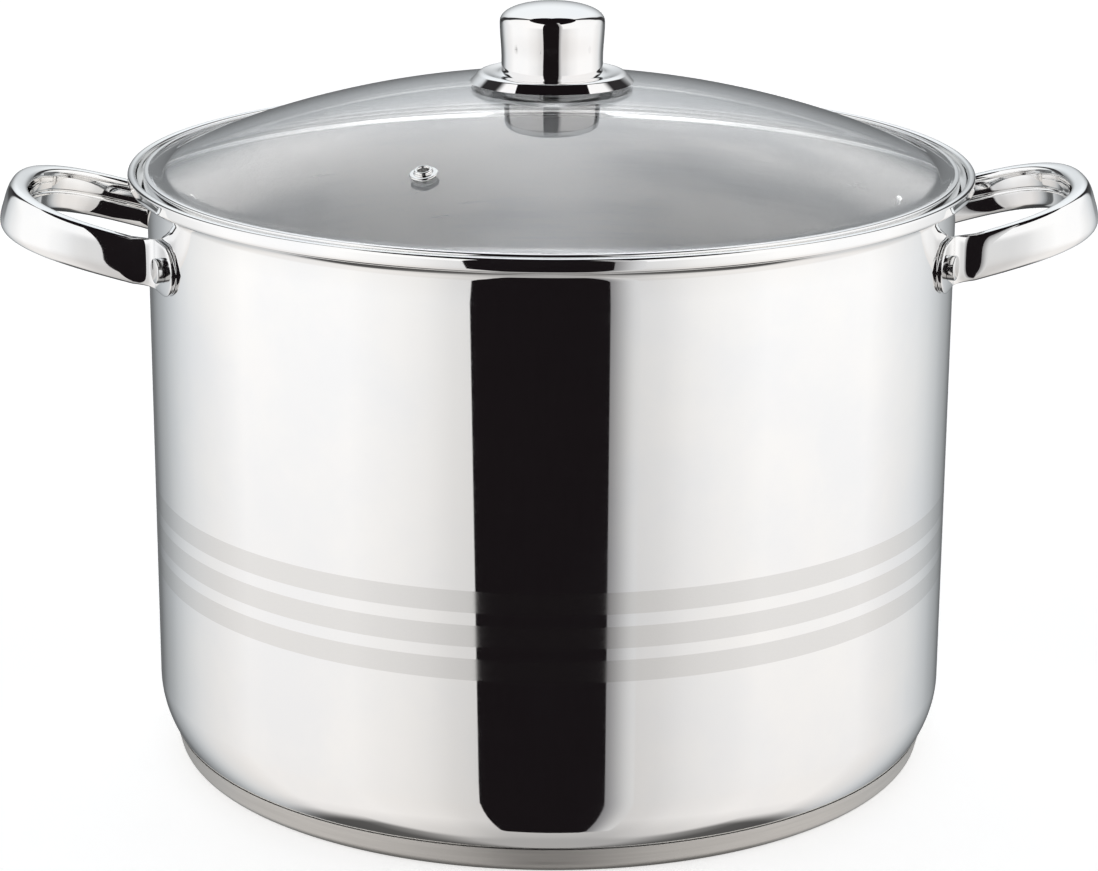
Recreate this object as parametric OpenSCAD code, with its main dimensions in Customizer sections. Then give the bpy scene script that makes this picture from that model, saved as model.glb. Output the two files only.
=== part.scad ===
// Water bath canner: a deep stainless pot with an impact-bonded base, two hollow
// loop handles, a domed glass lid with a knob and a steam vent, and a low jar rack.
// Millimetres. +Z is up, the origin is the centre of the underside, and the
// handles lie along X. "Right" is +X.

/* [Pot] */
// Inside diameter of the pot
pot_inner_d = 320; // [280:10:360]
// Height from the underside to the top of the rolled rim
pot_h = 240; // [200:5:300]
// Thickness of the pot's sheet
wall_t = 0.8; // [0.6:0.1:1.2]
// Outer radius of the corner between wall and floor
corner_r = 37; // [30:1:38]
// Height where the wall starts to turn in towards the floor
corner_z = 31; // [27:0.5:32]

/* [Base] */
// Thickness of the aluminium heat spreader
core_t = 5.5; // [4:0.5:7]
// Thickness of the steel cap round the spreader
cap_t = 0.5; // [0.4:0.1:0.8]
// Height of the cap's lip
cap_lip_z = 10.5; // [9.5:0.5:11]

/* [Handles] */
// How far a handle stands out from the wall
handle_reach = 57; // [50:1:64]
// Angle of each rivet from the handle's middle line
rivet_angle = 21.5; // [20.5:0.5:23]
// Height of the tube at the middle of a handle
handle_h = 19.2; // [17:0.2:22]
// Thickness of the tube at the middle of a handle
handle_w = 9; // [7:0.5:11]
// How far the middle of a handle rises above its rivets
handle_rise = 15; // [6:1:16]
// How far the middle of a handle leans in towards the lid at its top, in degrees
handle_tilt = 17.5; // [0:0.5:20]

/* [Lid] */
// Rise of the glass dome from its flange to its top
dome_h = 33; // [24:0.5:45]
// Thickness of the glass
glass_t = 4; // [3:0.5:5]
// Distance of the steam vent from the middle of the lid
vent_at_r = 112; // [60:2:130]
// Direction of the steam vent, from +X
vent_dir = -117; // [-180:1:180]

/* [Knob] */
// Widest radius of the knob's head
knob_r = 20.8; // [18:0.2:23]
// Height of the knob above its skirt
knob_h = 27.2; // [22:0.2:32]
// Radius of the skirt under the knob
skirt_r = 32.4; // [30:0.2:36]

/* [Jar rack] */
// Radius of the rack's outer ring, to the middle of its wire
rack_r = 150; // [120:1:150]
// Clear height under the rack's ring
rack_clear_h = 11.5; // [10:0.5:20]
// Distance between neighbouring bars
bar_pitch = 20; // [16:1:20]
// Length of a folding rack handle, from its pivot to its grip
bail_len = 52; // [40:1:60]

/* [Hidden] */
$fn = 96;
FINE = 48;        // circles of wire and small fasteners
EPS = 0.01;       // overshoot of a cut
GAP = 0.3;        // between parts of different bodies
SEAT = 0.05;      // play between faces of one body that lie on each other

// Pot
wall_r = pot_inner_d / 2 + wall_t;      // outside of the wall
inner_r = pot_inner_d / 2;
floor_under = cap_t + core_t;           // underside of the pot's floor
floor_top = floor_under + wall_t;
corner_x = wall_r - corner_r;
corner_end = 34;                        // degrees of arc before it eases into the floor
floor_ease = 6;                         // length of the ease along the floor
bead_r = 1.6;                           // rolled rim: a curl with a straight outer face
bead_flat = 2.4;
bead_x = wall_r + 5.8;
bead_z = pot_h - bead_r;
bead_end = -125;                        // angle where the rolled edge stops
flare_z = pot_h - 10.2;                 // start of the flare under the rim
flare_lead = 3.4;                       // how long the flare keeps its first direction

// Base
cap_lip_r = corner_x + sqrt(pow(corner_r, 2) - pow(corner_z - cap_lip_z, 2));
cap_side_r = 5;                         // the cap's rounded side
cap_side_x = cap_lip_r - 5.9;
cap_side_end = -12;                     // angle where the side runs on into the lip
cap_lip_gap = 0.1;                      // between the lip and the pot's corner

// Rivets
rivet_z = pot_h - 29.5;
rivet_r = 2.5;
rivet_head_r = 4.9;
rivet_head_h = 3;
rivet_tail_r = 3.2;
rivet_tail_h = 1.5;
rivet_play = 0.05;
rivet_edge = 0.5;                       // bevel round the head
rivet_crown = 0.15;                     // rise of the head's middle
rivet_tail_gap = 0.15;                  // between the tail and the inside of the wall

// Handle tube and its flattened lugs
lug_t = 2;
lug_h = 20.4;
lug_r = wall_r + lug_t / 2;             // middle of the lug's plate
lug_squareness = 5;
lug_end_h = 1.6;                        // height of the lug at its very tip
tube_t = 0.8;
tube_squareness = 3.4;                  // 2 is an ellipse, more is nearer to a rectangle
arch_half_y = 46.4;                     // half width of the arch where it meets the pot
arch_root_x = wall_r - 0.9;
arch_depth = wall_r + handle_reach - handle_w / 2 - arch_root_x;
arch_end = 0.99;                        // share of the arch before it bends into the lug
arch_blunt = 0.63;                      // under 1 flattens the end of the loop
arch_full = 0.85;                       // under 1 fills out the loop's sides
arch_steps = 12;
hollow_steps = 10;                      // the tube is hollow as far as this step
neck_h = 18.6;                          // the tube where the arch ends
neck_w = 6.4;
neck_h_fade = 0.8;                      // how evenly height and width fade towards the neck
neck_w_fade = 0.7;
lug_from = rivet_angle - 3.3;           // angle where the lug's plate begins
lug_tip = rivet_angle + 4;              // angle of the lug's rounded end

// Lid
flange_r = inner_r + 1.5;
flange_top = pot_h - 0.3;
flange_foot = flange_top - glass_t - 1.2;
dome_r0 = flange_r - 5.7;               // radius where the dome meets the flange
dome_top = flange_top + dome_h;
dome_rho = (pow(dome_r0, 2) + pow(dome_h, 2)) / (2 * dome_h);
dome_cz = dome_top - dome_rho;          // centre of the dome's sphere
dome_in = dome_rho - glass_t;
dome_foot = sqrt(pow(dome_in, 2) - pow(flange_foot - dome_cz, 2));
flange_edge = 0.6;                      // bevel round the edge of the glass
band_t = 0.5;
band_lip = 1.6;                         // width of the band's upper lip over the glass
band_foot = 1;                          // from the inside of the glass to the lower lip
stud_hole_r = 3.2;

// Steam vent
vent_tilt = asin(vent_at_r / dome_rho);
vent_bore_r = 2.1;
vent_barrel_r = 3.1;
vent_flange_r = 5.4;
vent_seal_r = 4.6;
vent_seal_t = 0.8;
vent_hole_r = 3.2;
vent_tail_r = 4.2;                      // the tail rolled out under the seal
vent_tail_t = 0.9;
vent_roll_r = 0.7;                      // the collar's rolled top
vent_roll_z = 1.6;

// Knob stack, counted up from the glass
skirt_z = dome_top + 0.2;               // lower edge of the skirt
skirt_h = 4.1;                          // height of the knob's foot above the skirt's edge
skirt_top = skirt_z + skirt_h - 0.2;
skirt_t = 0.8;
skirt_lean = 43;                        // lean of the skirt's side, in degrees
skirt_edge = 3;                         // radius between the skirt's side and its top
knob_z = skirt_z + skirt_h;
knob_neck_r = knob_r - 0.7;
knob_neck_h = 5;                        // straight part of the neck
knob_crown = 8;                         // height of the head above its widest place
knob_bluntness = 0.83;                  // under 1 flattens the top of the head
knob_t = 0.8;
pad_r = skirt_r - 7;
pad_edge_t = 0.8;                       // thickness under the skirt's edge
pad_hub_r = 12;
boss_r = 5;
boss_h = 14;
screw_r = 2.45;
screw_bore_r = 2.5;

// Cup under the glass
glass_under = dome_top - glass_t;
cup_r = 19.6;
cup_h = 5.4;
cup_t = 0.6;
cup_bend = 3;                           // radius between the cup's side and its bottom
cup_top = glass_under - 0.75;
dish_r = 10;                            // recess in the cup's underside for the screw
dish_h = 3.4;
dish_z = cup_top - cup_h + dish_h;
spacer_r = 8.2;
lock_t = 0.8;
lock_r = 4.3;
lock_slit = 0.8;
screw_head_r = 4.75;
screw_head_h = 2.4;
screw_end_z = knob_z + boss_h - 1.5;
cross_w = 1;                            // the cross recess in the screw's head
cross_len = 4.8;
cross_depth = 1.4;

// Rack
ring_wire = 2.5;
bar_wire = 2;
weld = 0.3;                             // how far welded wires sink into each other
rack_foot = floor_top + GAP;
ring_z = rack_foot + rack_clear_h + ring_wire;
bar_z = ring_z + ring_wire + bar_wire - weld;
bar_count = floor((rack_r - 8) / bar_pitch);
runner_x = rack_r / 2;
foot_y = runner_x * 1.26;               // feet stand a little wider apart along their runners
foot_wire = 2;
foot_bend = 6;
bail_wire = 2;
eye_r = 4;
eye_bore_r = 2.1;
eye_len = 6;
eye_y = 2 * bar_pitch;
eye_sink = 0.4;                         // how far an eye is welded into its bar
eye_z = bar_z + bar_wire + eye_r - eye_sink;
bail_x = rack_r - 18;
bail_leg_y = eye_y - 8;
bail_bend = 4;
grip_bend = 8;
stub_end_y = eye_y + 5;                 // the pivot's end, with its upset head
stub_head_r = 3.2;
stub_head_t = 2;

// ---- outlines ----

// Points of an arc in the plane, from angle a0 to a1
function arc(c, r, a0, a1, n) =
    [for (i = [0:n]) let (a = a0 + (a1 - a0) * i / n) [c[0] + r * cos(a), c[1] + r * sin(a)]];

// Points of a Bezier curve with three control points, without its first point
function ease(p, q, r, n) =
    [for (i = [1:n]) let (t = i / n, s = 1 - t) s * s * p + 2 * s * t * q + t * t * r];

// Points of a Bezier curve with four control points, without its first point
function s_curve(p, q, r, e, n) =
    [for (i = [1:n]) let (t = i / n, s = 1 - t)
        s * s * s * p + 3 * s * s * t * q + 3 * s * t * t * r + t * t * t * e];

function last(list) = list[len(list) - 1];

function reversed(list) = [for (i = [len(list) - 1:-1:0]) list[i]];

// A sheet's corner from the wall down to the floor, for a surface of corner radius r
function corner(r, floor_z) =
    let (bend = arc([corner_x, corner_z], r, 0, -corner_end, 10),
         p = last(bend),
         drop = p[1] - floor_z,
         q = [p[0] - drop * tan(corner_end), floor_z])
    concat(bend, ease(p, q, [q[0] - floor_ease, floor_z], 6));

// ---- pot ----

// The curl of the rim, for a face of radius r about the curl's two centres
function bead(r) = concat(
    arc([bead_x, bead_z - bead_flat], r, bead_end, 0, 6),
    arc([bead_x, bead_z], r, 0, 180, 10));

// The flare from the curl down to the wall, for a face moved in by t
function flare(t) =
    let (top = bead_x - bead_r + wall_t - t, foot = wall_r - t, lead = flare_lead - t / 2)
    s_curve([top, bead_z], [top, bead_z - lead],
            [foot, flare_z + flare_lead + (wall_t + t) / 2], [foot, flare_z], 10);

function pot_outside() = concat(
    [bead(bead_r)[0]],
    bead(bead_r - wall_t),
    flare(0),
    corner(corner_r, floor_under),
    [[0, floor_under]]);

function pot_inside() = concat(
    bead(bead_r),
    flare(wall_t),
    corner(corner_r - wall_t, floor_top),
    [[0, floor_top]]);

// Places a child, drawn pointing out along +X, at the four rivets of the pot
module at_rivets(side) {
    for (turn = [-rivet_angle, rivet_angle])
        rotate([0, 0, (side > 0 ? 0 : 180) + turn])
            translate([wall_r, 0, rivet_z])
                rotate([0, 90, 0])
                    children();
}

module pot_body() {
    color("gainsboro")
        difference() {
            rotate_extrude()
                polygon(concat(pot_outside(), reversed(pot_inside())));
            for (side = [-1, 1])
                at_rivets(side)
                    translate([0, 0, -wall_t - 2])
                        cylinder(r = rivet_r + rivet_play, h = wall_t + 4, $fn = FINE);
        }
}

// The cap's surface from the middle to its rounded edge, moved in by t from the outside
function cap_side(t) = concat([[0, t]], arc([cap_side_x, cap_side_r], cap_side_r - t, -90, cap_side_end, 8));

function cap_face(t) = concat(cap_side(t), [[cap_lip_r + cap_t + cap_lip_gap - t, cap_lip_z]]);

// Fills the cap up to the pot's floor and the foot of its corner
module base_core() {
    under_pot = [for (p = corner(corner_r, floor_under)) if (p[1] < cap_lip_z - 1) p];
    color("silver")
        rotate_extrude()
            polygon(concat(cap_side(cap_t), under_pot, [[0, floor_under]]));
}

module base_cap() {
    color("gainsboro")
        rotate_extrude()
            polygon(concat(cap_face(0), reversed(cap_face(cap_t))));
}

// ---- handles ----

// Middle of the tube at a share t of the half arch, seen from above: a blunt loop
function arch_at(t) =
    [arch_root_x + arch_depth * pow(cos(90 * t), arch_blunt),
     arch_half_y * pow(sin(90 * t), arch_full)];

function arch_way(t) =
    let (d = t == 0 ? [0, 1] : arch_at(t + 0.005) - arch_at(t - 0.005)) d / norm(d);

function lug_at(a) = lug_r * [cos(a), sin(a)];

function lug_way(a) = [-sin(a), cos(a)];

// Where the arch's line meets the lug's line
function bend_point(p, d, q, e) =
    let (cross = d[0] * e[1] - d[1] * e[0],
         k = ((q[0] - p[0]) * e[1] - (q[1] - p[1]) * e[0]) / cross)
    p + k * d;

// A station: [place, direction, height above the rivets, half height, half width, squareness, tilt]
function arch_station(t) =
    let (c = cos(90 * t))
    [arch_at(t), arch_way(t), handle_rise * pow(c, arch_blunt),
     (neck_h + (handle_h - neck_h) * pow(c, neck_h_fade)) / 2,
     (neck_w + (handle_w - neck_w) * pow(c, neck_w_fade)) / 2,
     tube_squareness, handle_tilt * pow(c, 2)];

function bend_stations(n) =
    let (p = arch_at(arch_end), d = arch_way(arch_end),
         q = lug_at(lug_from), e = lug_way(lug_from),
         m = bend_point(p, d, q, e),
         from = arch_station(arch_end))
    [for (i = [1:n]) let (t = i / n, s = 1 - t, way = s * (m - p) + t * (q - m))
        [s * s * p + 2 * s * t * m + t * t * q, way / norm(way), from[2] * s * s,
         from[3] + (lug_h / 2 - from[3]) * t * t, from[4] * s * s + lug_t / 2 * (1 - s * s),
         from[5] + (lug_squareness - from[5]) * t, from[6] * s]];

function lug_stations(n) =
    [for (i = [1:n])
        let (a = lug_from + (lug_tip - lug_from) * sin(90 * i / n),
             u = max(0, (a - rivet_angle) / (lug_tip - rivet_angle)))
        [lug_at(a), lug_way(a), 0, max(lug_end_h, lug_h * sqrt(max(0, 1 - u * u))) / 2, lug_t / 2,
         lug_squareness, 0]];

function half_handle() = concat(
    [for (i = [0:arch_steps]) arch_station(arch_end * i / arch_steps)],
    bend_stations(6), lug_stations(8));

// The same station on the other side of the handle's middle
function other_side(s) =
    [[s[0][0], -s[0][1]], [-s[1][0], s[1][1]], s[2], s[3], s[4], s[5], s[6]];

function whole(half) = concat(
    [for (i = [len(half) - 1:-1:1]) other_side(half[i])], half);

function rounded_power(v, n) = sign(v) * pow(abs(v), 2 / n);

// Points round the tube at a station, moved in by t
function section(s, t, points) =
    let (out = [s[1][1], -s[1][0]],
         tilt = s[6], a = s[3] - t, b = s[4] - t)
    [for (i = [0:points - 1])
        let (w = 360 * i / points,
             across = b * rounded_power(cos(w), s[5]),
             up = a * rounded_power(sin(w), s[5]),
             side = across * cos(tilt) - up * sin(tilt))
        [s[0][0] + out[0] * side, s[0][1] + out[1] * side,
         rivet_z + s[2] + up * cos(tilt) + across * sin(tilt)]];

module loft(stations, t, points) {
    rings = len(stations);
    dots = [for (s = stations) each section(s, t, points)];
    sides = [for (i = [0:rings - 2], j = [0:points - 1])
        let (k = (j + 1) % points, p = i * points, q = p + points)
        each [[p + j, p + k, q + k], [p + j, q + k, q + j]]];
    ends = [[for (j = [points - 1:-1:0]) j], [for (j = [0:points - 1]) (rings - 1) * points + j]];
    polyhedron(dots, concat(sides, ends));
}

module handle_solid() {
    hollow = [for (i = [0:2:hollow_steps]) arch_station(arch_end * i / arch_steps)];
    difference() {
        loft(whole(half_handle()), 0, 16);
        loft(whole(hollow), tube_t, 12);
        for (turn = [-rivet_angle, rivet_angle])
            rotate([0, 0, turn])
                translate([wall_r - 1, 0, rivet_z])
                    rotate([0, 90, 0])
                        cylinder(r = rivet_r + rivet_play, h = lug_t + 2, $fn = FINE);
    }
}

module handle_right() {
    color("gainsboro") handle_solid();
}

module handle_left() {
    color("gainsboro") rotate([0, 0, 180]) handle_solid();
}

// A rivet along +Z, with the pot's outer face at zero
module rivet() {
    rotate_extrude($fn = FINE)
        polygon([
            [0, -wall_t - rivet_tail_h],
            [rivet_tail_r * 0.6, -wall_t - rivet_tail_h * 0.85],
            [rivet_tail_r * 0.9, -wall_t - rivet_tail_h * 0.5],
            [rivet_tail_r, -wall_t - rivet_tail_gap],
            [rivet_r, -wall_t - rivet_tail_gap],
            [rivet_r, lug_t + SEAT],
            [rivet_head_r, lug_t + SEAT],
            [rivet_head_r, lug_t + rivet_head_h - rivet_edge],
            [rivet_head_r - rivet_edge, lug_t + rivet_head_h],
            [0, lug_t + rivet_head_h + rivet_crown]
        ]);
}

module rivets_left() {
    color("lightgray") at_rivets(-1) rivet();
}

module rivets_right() {
    color("lightgray") at_rivets(1) rivet();
}

// ---- lid ----

function dome_z(rho, r) = dome_cz + sqrt(rho * rho - r * r);

// Points of a dome surface of radius rho, from radius r0 out to r1
function dome_face(rho, r0, r1, n) =
    [for (i = [0:n]) let (r = r0 + (r1 - r0) * i / n) [r, dome_z(rho, r)]];

// Places a child, drawn along +Z, square to the dome at the steam vent
module at_vent() {
    rotate([0, 0, vent_dir])
        translate([vent_at_r, 0, dome_z(dome_rho, vent_at_r)])
            rotate([0, vent_tilt, 0])
                children();
}

module lid_glass() {
    color([0.75, 0.85, 0.88, 0.4])
        difference() {
            rotate_extrude()
                polygon(concat(
                    dome_face(dome_rho, stud_hole_r, dome_r0, 16),
                    [[flange_r - flange_edge, flange_top], [flange_r, flange_top - flange_edge],
                     [flange_r, flange_foot + flange_edge], [flange_r - flange_edge, flange_foot]],
                    reversed(dome_face(dome_in, stud_hole_r, dome_foot, 16))));
            at_vent()
                translate([0, 0, -glass_t - 3])
                    cylinder(r = vent_hole_r, h = glass_t + 6, $fn = FINE);
        }
}

module lid_band() {
    edge_x = flange_r - flange_edge;
    top_z = flange_top - flange_edge;
    foot_z = flange_foot + flange_edge;
    foot_x = dome_foot + band_foot;
    color("gainsboro")
        rotate_extrude()
            polygon(concat(
                [[flange_r - band_lip, flange_top + band_t]],
                arc([edge_x, top_z], flange_edge + band_t, 90, 0, 4),
                arc([edge_x, foot_z], flange_edge + band_t, 0, -90, 4),
                [[foot_x, flange_foot - band_t], [foot_x, flange_foot], [edge_x, flange_foot],
                 [flange_r, foot_z], [flange_r, top_z], [edge_x, flange_top],
                 [flange_r - band_lip, flange_top]]));
}

// The eyelet's rolled collar stands on the glass and its tail is rolled out below
module vent_eyelet() {
    under = -glass_t - vent_seal_t;
    color("lightgray")
        at_vent()
            rotate_extrude($fn = FINE)
                polygon(concat(
                    [[vent_bore_r, under - vent_tail_t], [vent_bore_r, vent_roll_z]],
                    arc([vent_bore_r + vent_roll_r, vent_roll_z], vent_roll_r, 180, 0, 6),
                    [[vent_bore_r + 1.5, 1.1], [vent_flange_r - 0.5, 0.9], [vent_flange_r, 0.3],
                     [vent_flange_r - 0.1, SEAT], [vent_barrel_r, SEAT], [vent_barrel_r, under - 0.1],
                     [vent_tail_r, under - 0.1], [vent_tail_r, under - vent_tail_t / 2],
                     [vent_barrel_r, under - vent_tail_t]]));
}

module vent_seal() {
    color("whitesmoke")
        at_vent()
            translate([0, 0, -glass_t - vent_seal_t - 0.1])
                difference() {
                    cylinder(r = vent_seal_r, h = vent_seal_t, $fn = FINE);
                    translate([0, 0, -EPS])
                        cylinder(r = vent_barrel_r + 0.05, h = vent_seal_t + 2 * EPS, $fn = FINE);
                }
}

// ---- knob ----

// Outline of the knob's shell, moved in by t
function knob_face(t) =
    let (r = knob_r - t, neck = knob_neck_r - t, neck_z = knob_z + knob_neck_h,
         head_z = knob_z + knob_h - knob_crown, lead = (head_z - neck_z) / 3)
    concat(
        [[neck, knob_z], [neck, neck_z]],
        s_curve([neck, neck_z], [neck, neck_z + lead], [r, head_z - lead], [r, head_z], 8),
        [for (i = [1:12]) let (a = 90 * i / 12)
            [r * cos(a), head_z + (knob_crown - t) * pow(sin(a), knob_bluntness)]]);

module knob_cap() {
    color("gainsboro")
        rotate_extrude()
            polygon(concat(knob_face(0), reversed(knob_face(knob_t))));
}

// Outline of the skirt's upper face, from its edge to the middle, moved in by t
function skirt_face(t) =
    let (edge_z = skirt_top - skirt_edge,
         edge_x = skirt_r - (skirt_edge + (edge_z - skirt_z) * sin(skirt_lean)) / cos(skirt_lean),
         top = skirt_top - t)
    concat(
        [[skirt_r - t / cos(skirt_lean), skirt_z]],
        arc([edge_x, edge_z], skirt_edge - t, skirt_lean, 90, 6),
        s_curve([edge_x, top], [knob_r + 5, top - 0.1],
                [knob_r + 3, top - 0.9], [knob_r + 0.6, top - 0.4], 6),
        [[knob_neck_r, knob_z - t], [boss_r + 0.1, knob_z - t]]);

module knob_skirt() {
    color("gainsboro")
        rotate_extrude()
            polygon(concat(skirt_face(0), reversed(skirt_face(skirt_t))));
}

// A threaded sleeve on a plate that fills the foot of the knob's shell
module knob_boss() {
    plate_t = 1.5;          // the plate that centres the shell
    plate_r = knob_neck_r - knob_t - SEAT;
    color("darkgray")
        rotate_extrude()
            polygon([
                [screw_bore_r, knob_z - skirt_t], [boss_r, knob_z - skirt_t], [boss_r, knob_z],
                [plate_r, knob_z], [plate_r, knob_z + plate_t],
                [boss_r, knob_z + plate_t], [boss_r, knob_z + boss_h], [screw_bore_r, knob_z + boss_h]
            ]);
}

// Silicone pad between the glass and the skirt, thick under the knob and thin to the edge
module knob_pad() {
    color("whitesmoke")
        rotate_extrude()
            polygon(concat(
                dome_face(dome_rho + SEAT, stud_hole_r, pad_r, 8),
                [[pad_r, skirt_z - SEAT], [pad_r - 2, skirt_z + pad_edge_t],
                 [pad_hub_r, skirt_z + pad_edge_t],
                 [pad_hub_r, knob_z - skirt_t], [stud_hole_r, knob_z - skirt_t]]));
}

// Outline of the cup below the glass, moved in by t
function cup_face(t) = concat(
    [[cup_r - t, cup_top]],
    arc([cup_r - cup_bend, cup_top - cup_h + cup_bend], cup_bend - t, 0, -90, 8),
    [[dish_r + 0.6 * t, cup_top - cup_h + t], [dish_r - 1.5 + 0.6 * t, dish_z + t],
     [screw_bore_r + 0.2, dish_z + t]]);

module lid_cup() {
    color("gainsboro")
        rotate_extrude()
            polygon(concat(cup_face(0), reversed(cup_face(cup_t))));
}

// Silicone spacer that fills the cup round the screw
module cup_spacer() {
    color("whitesmoke")
        rotate_extrude()
            polygon(concat(
                [[screw_bore_r + 0.2, dish_z + cup_t], [spacer_r, dish_z + cup_t]],
                reversed(dome_face(dome_in - SEAT, stud_hole_r, spacer_r, 6)),
                [[screw_bore_r + 0.2, dome_z(dome_in - SEAT, stud_hole_r)]]));
}

module lock_washer() {
    color("darkgray")
        translate([0, 0, dish_z - lock_t])
            difference() {
                cylinder(r = lock_r, h = lock_t, $fn = FINE);
                translate([0, 0, -EPS])
                    cylinder(r = screw_bore_r + 0.1, h = lock_t + 2 * EPS, $fn = FINE);
                rotate([0, 0, 40])
                    translate([0, -lock_slit / 2, -EPS])
                        cube([lock_r + 1, lock_slit, lock_t + 2 * EPS]);
            }
}

module knob_screw() {
    head_z = dish_z - lock_t - screw_head_h;
    color("lightgray")
        difference() {
            rotate_extrude($fn = FINE)
                polygon([
                    [0, head_z], [screw_head_r - 1.2, head_z + 0.2], [screw_head_r, head_z + 1.4],
                    [screw_head_r, head_z + screw_head_h], [screw_r, head_z + screw_head_h],
                    [screw_r, screw_end_z - 1], [screw_r - 0.6, screw_end_z], [0, screw_end_z]
                ]);
            for (turn = [0, 90])
                rotate([0, 0, turn])
                    translate([-cross_len / 2, -cross_w / 2, head_z - EPS])
                        cube([cross_len, cross_w, cross_depth]);
        }
}

// ---- jar rack ----

module rack_ring() {
    color("silver")
        rotate_extrude()
            translate([rack_r, ring_z])
                circle(r = ring_wire, $fn = FINE);
}

module rack_bars() {
    color("silver")
        for (i = [-bar_count:bar_count]) {
            y = i * bar_pitch;
            half = sqrt(pow(rack_r, 2) - y * y) + 1;
            translate([-half, y, bar_z])
                rotate([0, 90, 0])
                    cylinder(r = bar_wire, h = 2 * half, $fn = FINE);
        }
}

module rack_runners() {
    half = sqrt(pow(rack_r, 2) - pow(runner_x, 2)) - ring_wire * 0.9;
    color("silver")
        for (side = [-1, 1])
            translate([side * runner_x, -half, ring_z])
                rotate([-90, 0, 0])
                    cylinder(r = ring_wire, h = 2 * half, $fn = FINE);
}

// A U of wire in the YZ plane, with its lowest point at zero
module foot(leg_top) {
    bend_z = foot_bend + foot_wire;
    for (side = [-1, 1])
        translate([0, side * foot_bend, bend_z])
            cylinder(r = foot_wire, h = leg_top - bend_z, $fn = FINE);
    translate([0, 0, bend_z])
        rotate([0, 90, 0])
            rotate([0, 0, -90])
                rotate_extrude(angle = 180, $fn = FINE)
                    translate([foot_bend, 0])
                        circle(r = foot_wire, $fn = FINE);
}

module rack_feet() {
    color("silver")
        for (x = [-runner_x, runner_x], y = [-foot_y, foot_y])
            translate([x, y, rack_foot])
                foot(rack_clear_h + weld);
}

module rack_eyes() {
    color("lightgray")
        for (x = [-bail_x, bail_x], y = [-eye_y, eye_y])
            translate([x, y, eye_z])
                rotate([90, 0, 0])
                    difference() {
                        cylinder(r = eye_r, h = eye_len, center = true, $fn = FINE);
                        cylinder(r = eye_bore_r, h = eye_len + 1, center = true, $fn = FINE);
                    }
}

// A quarter bend of wire about the origin, from +X round to +Y
module wire_bend(r) {
    rotate_extrude(angle = 90, $fn = FINE)
        translate([r, 0])
            circle(r = bail_wire, $fn = FINE);
}

// Half of a folding handle, on the +Y side, with its pivot along Y through the origin
module half_bail() {
    grip_y = bail_leg_y - grip_bend;
    stub_y = bail_leg_y + bail_bend;
    rotate([-90, 0, 0]) {
        translate([0, 0, stub_y])
            cylinder(r = bail_wire, h = stub_end_y - stub_y, $fn = FINE);
        translate([0, 0, stub_end_y])
            cylinder(r = stub_head_r, h = stub_head_t, $fn = FINE);
    }
    translate([-bail_bend, stub_y, 0])
        rotate([0, 0, -90])
            wire_bend(bail_bend);
    translate([-bail_len + grip_bend, bail_leg_y, 0])
        rotate([0, 90, 0])
            cylinder(r = bail_wire, h = bail_len - grip_bend - bail_bend, $fn = FINE);
    translate([-bail_len + grip_bend, grip_y, 0])
        rotate([0, 0, 90])
            wire_bend(grip_bend);
    translate([-bail_len, 0, 0])
        rotate([-90, 0, 0])
            cylinder(r = bail_wire, h = grip_y, $fn = FINE);
}

module bail() {
    union() {
        half_bail();
        mirror([0, 1, 0]) half_bail();
    }
}

module rack_handle_right() {
    color("silver") translate([bail_x, 0, eye_z]) bail();
}

module rack_handle_left() {
    color("silver") translate([-bail_x, 0, eye_z]) rotate([0, 0, 180]) bail();
}

pot_body();
base_core();
base_cap();
handle_left();
handle_right();
rivets_left();
rivets_right();
lid_glass();
lid_band();
vent_eyelet();
vent_seal();
knob_cap();
knob_skirt();
knob_boss();
knob_pad();
lid_cup();
cup_spacer();
lock_washer();
knob_screw();
rack_ring();
rack_bars();
rack_runners();
rack_feet();
rack_eyes();
rack_handle_left();
rack_handle_right();
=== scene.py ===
import itertools
import math

import bmesh
import bpy
import numpy as np
from mathutils import Matrix, Vector


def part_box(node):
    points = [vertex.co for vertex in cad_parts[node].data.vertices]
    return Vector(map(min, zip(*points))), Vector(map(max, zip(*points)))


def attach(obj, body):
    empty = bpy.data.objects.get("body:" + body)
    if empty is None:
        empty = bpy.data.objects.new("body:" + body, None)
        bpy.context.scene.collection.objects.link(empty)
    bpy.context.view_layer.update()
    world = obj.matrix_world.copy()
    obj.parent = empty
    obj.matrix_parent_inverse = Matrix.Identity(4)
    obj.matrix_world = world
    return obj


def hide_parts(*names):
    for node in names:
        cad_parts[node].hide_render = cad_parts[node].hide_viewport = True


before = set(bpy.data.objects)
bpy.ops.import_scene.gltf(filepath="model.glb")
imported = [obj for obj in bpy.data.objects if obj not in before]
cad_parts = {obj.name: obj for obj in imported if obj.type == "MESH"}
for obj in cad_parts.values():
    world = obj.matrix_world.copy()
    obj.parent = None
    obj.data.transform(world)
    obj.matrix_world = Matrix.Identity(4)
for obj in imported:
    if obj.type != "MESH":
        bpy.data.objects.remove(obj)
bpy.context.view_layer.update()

# Lengths below are in millimetres unless a name ends in _M, and angles in degrees.
MM = 0.001
ROUND = 288            # steps round a turned piece
SHARP_DEG = 35         # edges bent more than this stay sharp


def cad(node):
    """Lowest and highest corner of a CAD node in millimetres."""
    lo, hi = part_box(node)
    return lo / MM, hi / MM


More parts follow.
